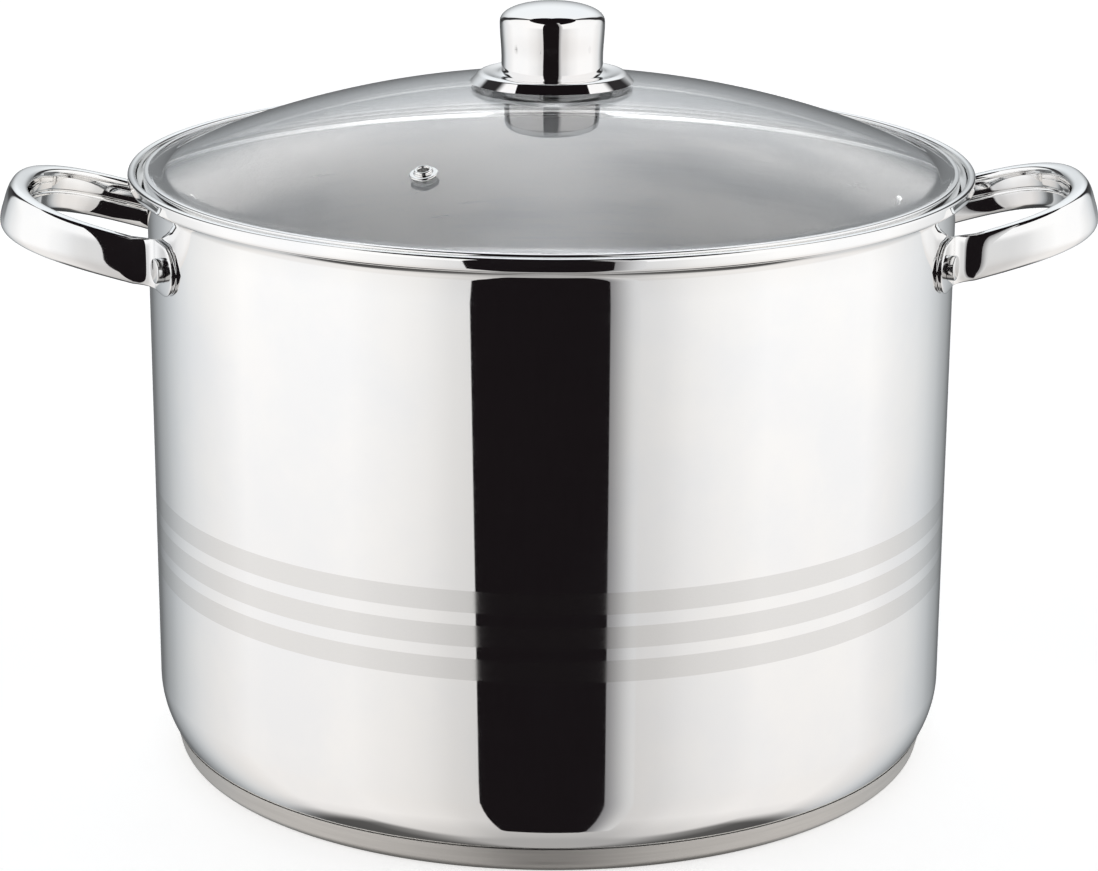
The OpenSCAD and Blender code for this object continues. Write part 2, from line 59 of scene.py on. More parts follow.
# ---- places, read from the CAD ----
POT_LO, POT_HI = cad("pot_body")
GLASS_HI = cad("lid_glass")[1]
BAND_HI = cad("lid_band")[1]
CAP_HI = cad("base_cap")[1]
KNOB_LO, KNOB_HI = cad("knob_cap")
SKIRT_LO, SKIRT_HI = cad("knob_skirt")
CUP_LO, CUP_HI = cad("lid_cup")
PAD_HI = cad("knob_pad")[1]
RING_LO, RING_HI = cad("rack_ring")
BARS_LO, BARS_HI = cad("rack_bars")
FEET_LO, FEET_HI = cad("rack_feet")
EYES_LO, EYES_HI = cad("rack_eyes")
BAIL_LO = cad("rack_handle_right")[0]

SHEET = 0.8
BEAD_R, BEAD_FLAT = 1.6, 2.4      # the rim's curl, and its straight outer face
POT_H = POT_HI.z
FLARE_OUT, FLARE_H, FLARE_LEAD = 5.8, 10.2, 3.4
WALL_R = POT_HI.x - FLARE_OUT - BEAD_R
INNER_R = WALL_R - SHEET
FLOOR_UNDER = POT_LO.z
FLOOR_TOP = FLOOR_UNDER + SHEET
BEAD_X, BEAD_Z = min(POT_HI.x, POT_HI.y) - BEAD_R, POT_H - BEAD_R
FLARE_Z = POT_H - FLARE_H
CORNER_R, CORNER_Z, CORNER_END = 37.0, 31.0, 34.0
FLOOR_EASE = 6.0
CORNER_X = WALL_R - CORNER_R
RIVET_Z = POT_H - 29.5
RIVET_TURN = 21.5                 # turned this far from the handle's middle
SATIN_Z = (83.3, 96.3, 109.5)     # middles of the three satin bands
SATIN_HALF = 4.2

BAND_T = 0.5
FLANGE_R, FLANGE_W = GLASS_HI.x, 5.7
FLANGE_TOP = BAND_HI.z - BAND_T
GLASS_T, FLANGE_T = 4.0, 5.2
DOME_TOP = SKIRT_LO.z - 0.2       # the skirt's edge stands just clear of the glass
DOME_R0 = FLANGE_R - FLANGE_W
DOME_RISE = DOME_TOP - FLANGE_TOP
DOME_RHO = (DOME_R0 ** 2 + DOME_RISE ** 2) / (2 * DOME_RISE)
DOME_CZ = DOME_TOP - DOME_RHO
VENT_R, VENT_TURN = 112.0, -117.0


# ---- outlines ----
def arc(cx, cz, r, a0, a1, n):
    a = np.radians(np.linspace(a0, a1, n + 1))
    return [(cx + r * math.cos(t), cz + r * math.sin(t)) for t in a]


def bezier(points, n):
    """A Bezier curve through two or three control points, without its first point."""
    p = np.array(points, float)
    out = []
    for t in np.linspace(0, 1, n + 1)[1:]:
        q = p.copy()
        while len(q) > 1:
            q = q[:-1] * (1 - t) + q[1:] * t
        out.append(tuple(q[0]))
    return out


def straight(p, q, n):
    """Points from p to q, without the first."""
    return [(p[0] + (q[0] - p[0]) * i / n, p[1] + (q[1] - p[1]) * i / n) for i in range(1, n + 1)]


def dome_z(rho, r):
    return DOME_CZ + math.sqrt(rho * rho - r * r)


def dome(rho, r0, r1, n):
    return [(r, dome_z(rho, r)) for r in np.linspace(r0, r1, n + 1)]


# ---- meshes ----
def finish_mesh(name, verts, faces, body, stands_for, mats, face_mats=None, matrix=None):
    mesh = bpy.data.meshes.new(name)
    mesh.from_pydata([tuple(v) for v in np.asarray(verts, float) * MM], [], faces)
    mesh.validate()
    if face_mats is not None:
        mesh.polygons.foreach_set("material_index", face_mats)
    mesh.polygons.foreach_set("use_smooth", [True] * len(mesh.polygons))
    bm = bmesh.new()
    bm.from_mesh(mesh)
    bmesh.ops.recalc_face_normals(bm, faces=bm.faces)
    bm.to_mesh(mesh)
    bm.free()
    mesh.set_sharp_from_angle(angle=math.radians(SHARP_DEG))
    obj = bpy.data.objects.new(name, mesh)
    bpy.context.scene.collection.objects.link(obj)
    for m in mats:
        mesh.materials.append(m)
    if matrix is not None:
        mesh.transform(matrix)
    if body:
        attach(obj, body)
    if stands_for:
        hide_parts(*stands_for)
    return obj


def revolve(outline, steps, place=None):
    """Vertices and faces of a closed outline turned about Z, and the outline point each face starts from."""
    verts, rings = [], []
    angles = np.linspace(0, 2 * math.pi, steps, endpoint=False)
    for r, z in outline:
        around = [0.0] if abs(r) < 1e-6 else angles
        rings.append(list(range(len(verts), len(verts) + len(around))))
        verts += [(r * math.cos(a), r * math.sin(a), z) for a in around]
    faces, source = [], []
    for i, ring in enumerate(rings):
        nxt = rings[(i + 1) % len(rings)]
        if len(ring) == 1 and len(nxt) == 1:
            continue
        for j in range(steps):
            k = (j + 1) % steps
            if len(ring) == 1:
                faces.append((ring[0], nxt[j], nxt[k]))
            elif len(nxt) == 1:
                faces.append((ring[j], ring[k], nxt[0]))
            else:
                faces.append((ring[j], ring[k], nxt[k], nxt[j]))
            source.append(i)
    if place is not None:
        verts = [tuple(place @ Vector(v)) for v in verts]
    return verts, faces, source


def turned(name, parts, body, stands_for, mats, matrix=None, steps=ROUND):
    """A piece turned about Z. parts is a closed outline as [(points, material index), ...]:
    each part runs on from the end of the one before, and the last joins the first."""
    outline, which = [], []
    for points, m in parts:
        outline += points
        which += [m] * len(points)
    verts, faces, source = revolve(outline, steps)
    face_mats = [which[i] for i in source]
    return finish_mesh(name, verts, faces, body, stands_for, mats, face_mats, matrix)


def loft_faces(rings, sides, closed=False):
    """Faces of a skin over rings of vertices, with a cap on each end of an open one."""
    faces = []
    for i in range(rings if closed else rings - 1):
        q = (i + 1) % rings
        for j in range(sides):
            k = (j + 1) % sides
            faces.append((i * sides + j, i * sides + k, q * sides + k, q * sides + j))
    if not closed:
        faces.append(tuple(range(sides - 1, -1, -1)))
        faces.append(tuple((rings - 1) * sides + j for j in range(sides)))
    return faces


def tube_points(path, radius, closed=False, sides=24, cap=0.45):
    """Vertices and faces of a wire along path, its ends rounded off a little."""
    p = np.array(path, float)
    n = len(p)
    if closed:
        way = np.roll(p, -1, 0) - np.roll(p, 1, 0)
    else:
        way = np.gradient(p, axis=0)
    way /= np.linalg.norm(way, axis=1)[:, None]
    side = np.cross(way[0], (0.0, 0.0, 1.0))
    if np.linalg.norm(side) < 1e-6:
        side = np.array((1.0, 0.0, 0.0))
    rings = []
    for i in range(n):
        side = side - way[i] * side.dot(way[i])
        side /= np.linalg.norm(side)
        rings.append((p[i], side.copy(), np.cross(way[i], side), radius))
    if not closed:
        edge = radius * cap
        first, last = rings[0], rings[-1]
        steps = np.radians((0, 30, 60, 85))

        def rounded(end, inward, t):
            return (end[0] + inward * edge * (1 - math.sin(t)), *end[1:3], radius - edge * (1 - math.cos(t)))

        head = [rounded(first, way[0], t) for t in steps[::-1]]
        tail = [rounded(last, -way[-1], t) for t in steps]
        rings = head + rings[1:-1] + tail
        rings[0] = (first[0], *first[1:3], radius - edge)
        rings[-1] = (last[0], *last[1:3], radius - edge)
    angles = np.linspace(0, 2 * math.pi, sides, endpoint=False)
    verts = [c + r * (math.cos(a) * u + math.sin(a) * v) for c, u, v, r in rings for a in angles]
    return verts, loft_faces(len(rings), sides, closed)


def weld_bead(centre, size, seed):
    """A small lumpy nugget where two wires are welded."""
    bm = bmesh.new()
    bmesh.ops.create_icosphere(bm, subdivisions=2, radius=1)
    rng = np.random.default_rng(seed)
    for v in bm.verts:
        v.co = Vector(centre) + Vector(a * b for a, b in zip(v.co, size)) * (1 + 0.1 * (rng.random() - 0.5))
    verts = [tuple(v.co) for v in bm.verts]
    faces = [tuple(v.index for v in f.verts) for f in bm.faces]
    bm.free()
    return verts, faces


def joined(name, shells, body, stands_for, mats):
    verts, faces = [], []
    for v, f in shells:
        base = len(verts)
        verts += list(v)
        faces += [tuple(i + base for i in face) for face in f]
    return finish_mesh(name, verts, faces, body, stands_for, mats)


# ---- material building ----
class Nodes:
    """Short calls for building a node tree."""

    def __init__(self, tree):
        self.tree = tree

    def put(self, socket, value):
        if value is None:
            return
        if isinstance(value, bpy.types.NodeSocket):
            self.tree.links.new(value, socket)
        else:
            socket.default_value = value

    def add(self, kind, **settings):
        node = self.tree.nodes.new(kind)
        for key, value in settings.items():
            setattr(node, key, value)
        return node

    def math(self, operation, a, b=None, c=None, clamp=False):
        node = self.add("ShaderNodeMath", operation=operation, use_clamp=clamp)
        for socket, value in zip(node.inputs, (a, b, c)):
            self.put(socket, value)
        return node.outputs[0]

    def smooth(self, value, low, high, out_low=0.0, out_high=1.0):
        node = self.add("ShaderNodeMapRange", interpolation_type="SMOOTHSTEP")
        for socket, item in zip(node.inputs, (value, low, high, out_low, out_high)):
            self.put(socket, item)
        return node.outputs[0]

    def mix(self, share, a, b):
        node = self.add("ShaderNodeMix", data_type="RGBA")
        self.put(node.inputs["Factor"], share)
        self.put(node.inputs[6], a)
        self.put(node.inputs[7], b)
        return node.outputs[2]

    def times(self, a, b):
        node = self.add("ShaderNodeMix", data_type="RGBA", blend_type="MULTIPLY")
        self.put(node.inputs["Factor"], 1.0)
        self.put(node.inputs[6], a)
        self.put(node.inputs[7], b)
        return node.outputs[2]

    def split(self, vector):
        node = self.add("ShaderNodeSeparateXYZ")
        self.put(node.inputs[0], vector)
        return node.outputs

    def ramp(self, value, stops, ease="LINEAR"):
        node = self.add("ShaderNodeValToRGB")
        node.color_ramp.interpolation = ease
        points = node.color_ramp.elements
        while len(points) < len(stops):
            points.new(0.5)
        for point, (at, shade) in zip(points, stops):
            point.position = at
            point.color = (shade, shade, shade, 1)
        self.put(node.inputs[0], value)
        return node.outputs[0]

    def noise(self, vector, scale, detail=4.0, roughness=0.55, w=None):
        node = self.add("ShaderNodeTexNoise", noise_dimensions="3D" if w is None else "4D")
        self.put(node.inputs["Vector"], vector)
        if w is not None:
            self.put(node.inputs["W"], w)
        node.inputs["Scale"].default_value = scale
        node.inputs["Detail"].default_value = detail
        node.inputs["Roughness"].default_value = roughness
        return node.outputs["Fac"]

    def bump(self, height, strength, distance):
        node = self.add("ShaderNodeBump")
        node.inputs["Strength"].default_value = strength
        node.inputs["Distance"].default_value = distance
        self.put(node.inputs["Height"], height)
        return node.outputs["Normal"]


def new_material(name):
    mat = bpy.data.materials.new(name)
    mat.use_nodes = True
    mat.node_tree.nodes.clear()
    n = Nodes(mat.node_tree)
    shader = n.add("ShaderNodeBsdfPrincipled")
    out = n.add("ShaderNodeOutputMaterial")
    n.tree.links.new(shader.outputs[0], out.inputs["Surface"])
    where = n.add("ShaderNodeTexCoord").outputs["Object"]
    return mat, n, shader, where


def shade(tint, tone):
    return tuple(min(1.0, tone * c) for c in tint) + (1,)


def turned_lines(n, where, fine, along):
    """Vector and W of a noise drawn out round the Z axis, as turning and polishing leave it."""
    x, y, z = n.split(where)
    squares = n.math("ADD", n.math("MULTIPLY", x, x), n.math("MULTIPLY", y, y))
    r = n.math("MAXIMUM", n.math("SQRT", squares), 1e-4)
    join = n.add("ShaderNodeCombineXYZ")
    n.put(join.inputs[0], n.math("MULTIPLY", r, fine))
    n.put(join.inputs[1], n.math("MULTIPLY", z, fine))
    n.put(join.inputs[2], n.math("MULTIPLY", n.math("DIVIDE", x, r), along))
    return join.outputs[0], n.math("MULTIPLY", n.math("DIVIDE", y, r), along), z


def steel(name, tone, rough, marks=0.02, smudge=0.03, relief=2e-6, turned_marks=True, dull=None, satin=False,
          warm=(1.0, 0.992, 0.98), edge=0.0):
    """Stainless steel: polishing marks, faint smudges and a little colour variation.
    dull = (tone, rough) of the surface's satin bands. edge darkens upright sides by the angle they
    are seen from, which stands in for a dark room's reflection and isn't a finish."""
    mat, n, shader, where = new_material(name)
    shader.inputs["Metallic"].default_value = 1.0
    if turned_marks:
        lines_at, lines_w, z = turned_lines(n, where, 900.0, 2.2)
        lines = n.noise(lines_at, 1.0, 5.0, 0.6, lines_w)
    else:
        lines = n.noise(where, 900.0, 5.0, 0.6)
        z = None
    cloud = n.noise(where, 14.0, 5.0, 0.6)
    spots = n.noise(where, 160.0, 3.0, 0.5)
    level = n.math("ADD", n.math("MULTIPLY", n.math("SUBTRACT", lines, 0.5), marks * 2),
                   n.math("MULTIPLY", n.smooth(cloud, 0.5, 0.72), smudge))
    level = n.math("ADD", level, n.math("MULTIPLY", n.math("SUBTRACT", spots, 0.5), smudge * 0.5))
    deep = shade((0.985, 0.99, 1.0), tone * 0.965)
    colour = n.mix(n.smooth(cloud, 0.35, 0.7), shade(warm, tone), deep)
    roughness = n.math("ADD", level, rough)
    if satin:
        dull_tone, dull_rough = dull
        masks, blur = [], 0.15
        for at in SATIN_Z:
            away = n.math("ABSOLUTE", n.math("SUBTRACT", z, at * MM))
            masks.append(n.smooth(away, (SATIN_HALF - blur) * MM, (SATIN_HALF + blur) * MM, 1.0, 0.0))
        mask = n.math("MAXIMUM", masks[0], n.math("MAXIMUM", masks[1], masks[2]))
        grain = n.noise(where, 2600.0, 3.0, 0.6)
        speck = n.math("ADD", dull_rough, n.math("MULTIPLY", n.math("SUBTRACT", grain, 0.5), 0.06))
        roughness = n.math("ADD", n.math("MULTIPLY", roughness, n.math("SUBTRACT", 1.0, mask)),
                           n.math("MULTIPLY", speck, mask))
        etched = n.mix(grain, shade(warm, dull_tone * 0.96), shade(warm, dull_tone * 1.04))
        colour = n.mix(mask, colour, etched)
    if edge:
        facing = n.add("ShaderNodeLayerWeight").outputs["Facing"]
        tilt = n.split(n.add("ShaderNodeTexCoord").outputs["Normal"])[2]
        upright = n.smooth(n.math("ABSOLUTE", tilt), 0.15, 0.5, edge, 0.0)
        away = n.math("MULTIPLY", n.smooth(facing, 0.56, 0.78), upright)
        colour = n.mix(away, colour, (0.02, 0.02, 0.02, 1))
    n.put(shader.inputs["Base Color"], colour)
    n.put(shader.inputs["Roughness"], n.math("MAXIMUM", roughness, 0.015))
    n.put(shader.inputs["Normal"], n.bump(lines, 0.4, relief))
    return mat


def brushed(name, tone, rough, fine=520.0, relief=1.2e-5, turned_marks=True, tint=(1.0, 0.995, 0.985),
            depth=1.0, shaded=0.0):
    """Satin steel with clear brush lines round the axis, or plain drawn-wire grain. shaded darkens it
    towards the handles, which stands in for dark reflections there and isn't a finish."""
    mat, n, shader, where = new_material(name)
    shader.inputs["Metallic"].default_value = 1.0
    if turned_marks:
        at, w, _ = turned_lines(n, where, fine, 3.0)
        lines = n.noise(at, 1.0, 6.0, 0.65, w)
    else:
        lines = n.noise(where, fine, 6.0, 0.65)
    cloud = n.noise(where, 22.0, 4.0, 0.6)
    spread = n.math("ADD", n.math("MULTIPLY", n.math("SUBTRACT", lines, 0.5), 0.22 * depth),
                    n.math("MULTIPLY", n.math("SUBTRACT", cloud, 0.5), 0.1))
    n.put(shader.inputs["Roughness"], n.math("ADD", rough, spread, clamp=True))
    dark = shade(tint, tone * (1 - 0.1 * depth))
    light = shade(tint, tone * (1 + 0.08 * depth))
    colour = n.mix(n.smooth(lines, 0.3, 0.7), dark, light)
    if shaded:
        from_m, to_m = 0.075, 0.155
        aside = n.smooth(n.math("ABSOLUTE", n.split(where)[0]), from_m, to_m, 0.0, shaded)
        colour = n.mix(aside, colour, shade((0.86, 0.94, 1.0), 0.12))
    n.put(shader.inputs["Base Color"], colour)
    n.put(shader.inputs["Normal"], n.bump(lines, 0.5 * depth, relief))
    return mat


def clear_glass(name):
    mat, n, shader, where = new_material(name)
    shader.inputs["Transmission Weight"].default_value = 1.0
    shader.inputs["IOR"].default_value = 1.5
    film = n.noise(where, 30.0, 4.0, 0.6)
    dust = n.noise(where, 420.0, 2.0, 0.5)
    n.put(shader.inputs["Base Color"],
          n.mix(n.smooth(film, 0.35, 0.7), (0.985, 0.993, 1.0, 1), (0.975, 0.988, 0.995, 1)))
    n.put(shader.inputs["Roughness"],
          n.math("MULTIPLY", n.math("ADD", n.smooth(film, 0.45, 0.8), n.smooth(dust, 0.6, 0.8)), 0.012))
    ripple = n.noise(where, 26.0, 2.0, 0.4)
    n.put(shader.inputs["Normal"], n.bump(ripple, 0.1, 1.5e-5))
    return mat


def silicone(name):
    mat, n, shader, where = new_material(name)
    cloud = n.noise(where, 60.0, 4.0, 0.55)
    grain = n.noise(where, 1500.0, 3.0, 0.5)
    n.put(shader.inputs["Base Color"],
          n.mix(cloud, (0.80, 0.815, 0.82, 1), (0.88, 0.89, 0.885, 1)))
    n.put(shader.inputs["Roughness"], n.math("ADD", 0.34, n.math("MULTIPLY", grain, 0.16)))
    shader.inputs["Transmission Weight"].default_value = 0.35
    shader.inputs["IOR"].default_value = 1.41
    n.put(shader.inputs["Normal"], n.bump(grain, 0.3, 1e-5))
    return mat


def cast_metal(name):
    mat, n, shader, where = new_material(name)
    shader.inputs["Metallic"].default_value = 1.0
    pits = n.noise(where, 700.0, 5.0, 0.7)
    cloud = n.noise(where, 40.0, 4.0, 0.6)
    n.put(shader.inputs["Base Color"], n.mix(cloud, (0.60, 0.61, 0.62, 1), (0.72, 0.73, 0.74, 1)))
    n.put(shader.inputs["Roughness"], n.math("ADD", 0.42, n.math("MULTIPLY", pits, 0.22)))
    n.put(shader.inputs["Normal"], n.bump(pits, 0.6, 6e-5))
    return mat


MIRROR = steel("polished_steel", 0.93, 0.03, satin=True, dull=(0.77, 0.07))
INSIDE = brushed("satin_inside", 0.96, 0.30, relief=4e-6, depth=0.4, tint=(0.985, 0.99, 1.0), shaded=0.75)
HANDLE = steel("handle_polish", 0.93, 0.035, turned_marks=False, smudge=0.04)
KNOB = steel("knob_polish", 0.92, 0.03, warm=(1.0, 0.975, 0.955), edge=0.9)
RIVET = steel("rivet_polish", 0.80, 0.09, turned_marks=False)
BAND = steel("band_polish", 0.92, 0.04)
CUP = steel("cup_polish", 0.86, 0.06)
BASE = brushed("base_satin", 0.58, 0.42, tint=(1.0, 0.97, 0.93), depth=0.7)
FASTENER = brushed("fastener_metal", 0.62, 0.28, turned_marks=False, fine=1400.0)
EYELET = steel("eyelet_polish", 0.86, 0.08, turned_marks=False)
WIRE = steel("rack_wire", 0.80, 0.16, turned_marks=False, smudge=0.08, relief=1e-5)
GLASS = clear_glass("lid_glass")
SILICONE = silicone("silicone")
SPREADER = cast_metal("spreader_aluminium")


# ---- pot ----
def corner(r, floor_z, steps=16):
    """The sheet's bend from the wall down to the floor, for a face of corner radius r."""
    bend = arc(CORNER_X, CORNER_Z, r, 0, -CORNER_END, steps)
    p = bend[-1]
    q = (p[0] - (p[1] - floor_z) * math.tan(math.radians(CORNER_END)), floor_z)
    return bend + bezier([p, q, (q[0] - FLOOR_EASE, floor_z)], 10)


def build_pot():
    def curl(r, steps):
        return (arc(BEAD_X, BEAD_Z - BEAD_FLAT, r, -125, 0, steps) + arc(BEAD_X, BEAD_Z, r, 0, 180, steps))

    def flare(t):
        top, foot, lead = BEAD_X - BEAD_R + SHEET - t, WALL_R - t, FLARE_LEAD - t / 2
        return bezier([(top, BEAD_Z), (top, BEAD_Z - lead),
                       (foot, FLARE_Z + FLARE_LEAD + (SHEET + t) / 2), (foot, FLARE_Z)], 20)

    wall_out = straight((WALL_R, FLARE_Z), (WALL_R, CORNER_Z), 24)[:-1]
    wall_in = straight((INNER_R, FLARE_Z), (INNER_R, CORNER_Z), 24)[:-1]
    outer = curl(BEAD_R - SHEET, 14) + flare(0) + wall_out + corner(CORNER_R, FLOOR_UNDER)
    inner_low = wall_in + corner(CORNER_R - SHEET, FLOOR_TOP)
    floor_out = straight(outer[-1], (0, FLOOR_UNDER), 8)
    floor_in = straight(inner_low[-1], (0, FLOOR_TOP), 8)
    inside = (inner_low + floor_in)[::-1]
    rim = (curl(BEAD_R, 20) + flare(SHEET))[::-1]
    turned("pot_shell", [(outer, 0), (floor_out, 0), (inside, 1), (rim, 0)], "pot",
           ["pot_body"], [MIRROR, INSIDE])


def build_base():
    """The steel cap round the heat spreader: a rounded side that ends in a thin lip."""
    cap_t, side_r, lip_z, nick = 0.5, 5.0, CAP_HI.z, 0.12
    side_x = CAP_HI.x - cap_t - 0.1 - 5.9
    outer = arc(side_x, side_r, side_r, -90, -12, 16)
    inner = arc(side_x, side_r, side_r - cap_t, -90, -12, 16)
    lip_out, lip_in = CAP_HI.x, CAP_HI.x - cap_t
    edge = [(lip_out, lip_z - nick), (lip_out - nick, lip_z), (lip_in + nick, lip_z), (lip_in, lip_z - nick)]
    under = straight((0, 0), (outer[0][0], 0), 10)
    over = straight((inner[0][0], cap_t), (0, cap_t), 10)
    outline = [(0, 0)] + under + outer[1:] + edge + inner[::-1] + over
    turned("base_capsule", [(outline, 0)], "pot", ["base_cap"], [BASE])


# ---- handles ----
REACH_W, ROOT_W, PLATE_T = 9.0, 6.4, 2.0
REACH_H, ROOT_H, PLATE_H = 19.2, 18.6, 20.4
ARCH_HALF_Y, ARCH_END = 46.4, 0.99
ARCH_ROOT_X = WALL_R - 0.9
ARCH_DEPTH = WALL_R + 56.9 - REACH_W / 2 - ARCH_ROOT_X
TUBE_SQUARE, PLATE_SQUARE = 3.4, 5.0     # 2 is an ellipse, more is nearer to a rectangle
RISE, LEAN = 15.0, 17.5
PLATE_R = WALL_R + PLATE_T / 2
PLATE_FROM, PLATE_TIP = RIVET_TURN - 3.3, RIVET_TURN + 4


def power(v, e):
    return math.copysign(abs(v) ** e, v)


def arch_at(t):
    a = math.radians(90 * t)
    return np.array([ARCH_ROOT_X + ARCH_DEPTH * math.cos(a) ** 0.63, ARCH_HALF_Y * math.sin(a) ** 0.85])


def arch_way(t):
    if t == 0:
        return np.array([0.0, 1.0])
    d = arch_at(t + 0.005) - arch_at(t - 0.005)
    return d / np.linalg.norm(d)


def arch_station(t):
    c = math.cos(math.radians(90 * t))
    return [arch_at(t), arch_way(t), RISE * c ** 0.63, (ROOT_H + (REACH_H - ROOT_H) * c ** 0.8) / 2,
            (ROOT_W + (REACH_W - ROOT_W) * c ** 0.7) / 2, TUBE_SQUARE, LEAN * c * c, 1.0]


def plate_at(a):
    a = math.radians(a)
    return PLATE_R * np.array([math.cos(a), math.sin(a)]), np.array([-math.sin(a), math.cos(a)])


def bend_stations(n):
    p, d, start = arch_at(ARCH_END), arch_way(ARCH_END), arch_station(ARCH_END)
    q, e = plate_at(PLATE_FROM)
    cross = d[0] * e[1] - d[1] * e[0]
    m = p + d * ((q[0] - p[0]) * e[1] - (q[1] - p[1]) * e[0]) / cross
    out = []
    for i in range(1, n + 1):
        t = i / n
        s = 1 - t
        way = s * (m - p) + t * (q - m)
        out.append([s * s * p + 2 * s * t * m + t * t * q, way / np.linalg.norm(way), start[2] * s * s,
                    start[3] + (PLATE_H / 2 - start[3]) * t * t, start[4] * s * s + PLATE_T / 2 * (1 - s * s),
                    start[5] + (PLATE_SQUARE - start[5]) * t, start[6] * s, s])
    return out


def plate_stations(n):
    out = []
    for i in range(1, n + 1):
        a = PLATE_FROM + (PLATE_TIP - PLATE_FROM) * math.sin(math.radians(90 * i / n))
        u = max(0.0, (a - RIVET_TURN) / (PLATE_TIP - RIVET_TURN))
        at, way = plate_at(a)
        high = max(0.8, PLATE_H / 2 * math.sqrt(max(0.0, 1 - u * u)))
        out.append([at, way, 0.0, high, PLATE_T / 2, PLATE_SQUARE, 0.0, 0.0])
    return out


def build_handle(name, side, node):
    seam_h, seam_half = 0.75, 0.55      # how proud the seam stands, and how soon it fades
    half = [arch_station(ARCH_END * i / 40) for i in range(41)] + bend_stations(18) + plate_stations(14)
    other = [[np.array([s[0][0], -s[0][1]]), np.array([-s[1][0], s[1][1]])] + s[2:] for s in half[:0:-1]]
    stations = other + half
    even = np.linspace(0, 360, 72, endpoint=False)
    near = 180 + np.array([-3.6, -2.6, -1.7, -1.0, -0.5, 0.5, 1.0, 1.7, 2.6, 3.6])
    turns = np.radians(np.unique(np.concatenate([even[np.abs(even - 180) > 4.5], near, [180.0]])))
    verts = []
    for at, way, lift, a, b, square, tilt, seam in stations:
        out = np.array([way[1], -way[0]])
        ct, st = math.cos(math.radians(tilt)), math.sin(math.radians(tilt))
        for w in turns:
            across = b * power(math.cos(w), 2 / square)
            up = a * power(math.sin(w), 2 / square)
            if across < 0:     # the pressed halves meet in a seam along the inner side
                across += seam_h * seam * math.exp(-(up / seam_half) ** 2)
            flat = across * ct - up * st
            verts.append((at[0] + out[0] * flat, at[1] + out[1] * flat, RIVET_Z + lift + up * ct + across * st))
    faces = loft_faces(len(stations), len(turns))
    spin = Matrix.Rotation(math.pi, 4, "Z") if side < 0 else None
    return finish_mesh(name, verts, faces, "pot", [node], [HANDLE], matrix=spin)


def build_rivets(name, side, node):
    """Two solid rivets of one handle: a broad head outside and a low dome inside."""
    head_r, head_h, tail_r, tail_h, shank, play = 4.9, 3.0, 3.2, 1.5, 2.5, 0.05
    top, tail_z, tail_foot = PLATE_T + head_h, -SHEET - tail_h, -SHEET - 0.15
    edge = arc(head_r - 0.7, top - 0.7, 0.7, 0, 80, 8)
    head = bezier([edge[-1], (head_r * 0.5, top + 0.15), (0, top + 0.15)], 8)
    tail = bezier([(0, tail_z), (tail_r * 0.9, tail_z), (tail_r, tail_foot)], 12)
    outline = ([(head_r, PLATE_T + play)] + edge + head + [(0, tail_z)] + tail
               + [(shank, tail_foot), (shank, PLATE_T + play)])
    shells = []
    for turn in (-RIVET_TURN, RIVET_TURN):
        place = (Matrix.Rotation(math.radians(turn + (0 if side > 0 else 180)), 4, "Z")
                 @ Matrix.Translation((WALL_R, 0, RIVET_Z)) @ Matrix.Rotation(math.pi / 2, 4, "Y"))
        shells.append(revolve(outline, 48, place)[:2])
    joined(name, shells, "pot", [node], [RIVET])


# ---- lid ----
GLASS_EDGE = 0.6                   # roundness of the glass's edge
GLASS_EDGE_X = FLANGE_R - GLASS_EDGE
GLASS_UNDER = FLANGE_TOP - FLANGE_T
INNER_RHO = DOME_RHO - GLASS_T
GLASS_FOOT = math.sqrt(INNER_RHO ** 2 - (GLASS_UNDER - DOME_CZ) ** 2)
HOLE_R = 3.2                       # the screw's hole


def glass_edge(extra, steps, upper=(90, 0), lower=(0, -90)):
    """Arcs round the glass's upper and lower edge, this much proud of it."""
    r = GLASS_EDGE + extra
    return (arc(GLASS_EDGE_X, FLANGE_TOP - GLASS_EDGE, r, *upper, steps),
            arc(GLASS_EDGE_X, GLASS_UNDER + GLASS_EDGE, r, *lower, steps))


def build_glass():
    ease = 3.0
    dome_end, foot_end = DOME_R0 - ease, GLASS_FOOT - ease
    upper, lower = glass_edge(0, 6)
    foot_in = bezier([(GLASS_EDGE_X, GLASS_UNDER), (GLASS_FOOT, GLASS_UNDER),
                      (foot_end, dome_z(INNER_RHO, foot_end))], 10)
    blend = bezier([(dome_end, dome_z(DOME_RHO, dome_end)), (DOME_R0, FLANGE_TOP),
                    (DOME_R0 + ease, FLANGE_TOP)], 10)
    outline = (dome(DOME_RHO, HOLE_R, dome_end, 60) + blend + upper + lower + foot_in
               + dome(INNER_RHO, foot_end, HOLE_R, 60)[1:])
    turned("glass_dome", [(outline, 0)], "lid", ["lid_glass"], [GLASS])


def build_band():
    t, lip = BAND_T, 1.6
    upper, lower = glass_edge(t, 14)
    upper_in, lower_in = glass_edge(0, 10, upper=(0, 90), lower=(-90, 0))
    hem = arc(FLANGE_R - lip + t / 2, FLANGE_TOP + t / 2, t / 2, 200, 90, 5)
    band = ([(FLANGE_R - lip, FLANGE_TOP + 0.02)] + hem + upper + lower
            + [(GLASS_FOOT + 1, GLASS_UNDER - t), (GLASS_FOOT + 1, GLASS_UNDER)] + lower_in + upper_in)
    turned("rim_band", [(band, 0)], "lid", ["lid_band"], [BAND])


